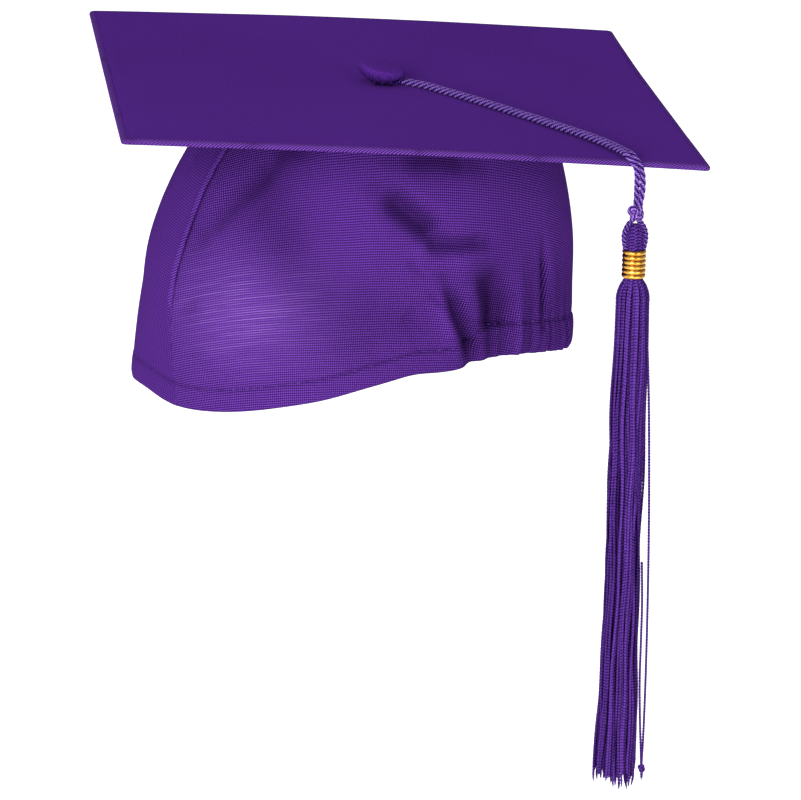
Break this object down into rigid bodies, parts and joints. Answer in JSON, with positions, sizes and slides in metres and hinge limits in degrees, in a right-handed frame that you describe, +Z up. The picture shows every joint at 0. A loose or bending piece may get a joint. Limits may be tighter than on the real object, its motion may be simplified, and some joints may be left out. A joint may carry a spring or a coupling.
{
  "type": "graduation cap",
  "caption": "Square cloth-covered board on a soft skullcap with an elastic back, with a covered button and a doubled cord that carries a tassel over the edge.",
  "frame": {"origin": "centre of the head opening at the skullcap's bottom edge", "axes": "+Z up out of the board, -Y to the wearer's front, +X to the wearer's left, the side the tassel hangs on"},
  "size_m": [0.2513, 0.2413, 0.2789],
  "materials": {
    "board_cloth": "matt woven polyester",
    "crown_cloth": "matt woven polyester",
    "cord_thread": "twisted rayon cord",
    "tassel_thread": "rayon chainette strands",
    "gilt_metal": "polished gilt",
    "steel": "plated",
    "grey_board": "grey board",
    "elastic_web": "woven elastic"
  },
  "bodies": {
    "cap": {"board_top_cover": "board_cloth", "board_core": "grey_board", "board_underside_cover": "board_cloth", "button_cloth": "board_cloth", "button_shell": "steel", "button_back": "steel", "button_rivet": "steel", "rivet_washer": "steel", "crown_front_panel": "crown_cloth", "crown_left_panel": "crown_cloth", "crown_right_panel": "crown_cloth", "crown_top_lining": "crown_cloth", "front_hem": "crown_cloth", "left_hem": "crown_cloth", "right_hem": "crown_cloth", "seam_allowance_left": "crown_cloth", "seam_allowance_right": "crown_cloth", "seam_allowance_back": "crown_cloth", "elastic_band": "elastic_web", "elastic_casing": "crown_cloth"},
    "cord_arm": {"cord_loop": "cord_thread", "board_cord_1": "cord_thread", "board_cord_2": "cord_thread"},
    "cord_drop": {"drop_cord_1": "cord_thread", "drop_cord_2": "cord_thread"},
    "knot": {"cord_knot": "cord_thread"},
    "tassel": {"tassel_eye": "cord_thread", "tassel_head": "tassel_thread", "tassel_barrel": "gilt_metal", "skirt_bundle_1": "tassel_thread", "skirt_bundle_2": "tassel_thread", "skirt_bundle_3": "tassel_thread", "skirt_bundle_4": "tassel_thread", "skirt_bundle_5": "tassel_thread", "skirt_bundle_6": "tassel_thread", "skirt_bundle_7": "tassel_thread", "loose_strand_1": "tassel_thread", "loose_strand_2": "tassel_thread", "loose_strand_knot": "tassel_thread"}
  },
  "joints": [
    {"name": "cord_swivel", "type": "hinge", "parent": "cap", "child": "cord_arm", "pos_m": [0, 0.0038, 0.12], "axis": [0, 0, 1], "range_deg": [-72, 0]},
    {"name": "drop_swing", "type": "hinge", "parent": "cord_arm", "child": "cord_drop", "pos_m": [0.1203, 0.093, 0.1196], "axis": [0, -1, 0], "range_deg": [0, 65]},
    {"name": "tassel_sway", "type": "hinge", "parent": "cord_drop", "child": "knot", "pos_m": [0.1221, 0.0959, 0.1028], "axis": [1, 0, 0], "range_deg": [-25, 25]},
    {"name": "tassel_spin", "type": "hinge", "parent": "knot", "child": "tassel", "pos_m": [0.1221, 0.0959, 0.099], "axis": [0, -0.0541, 0.9985], "range_deg": [-90, 90]}
  ]
}
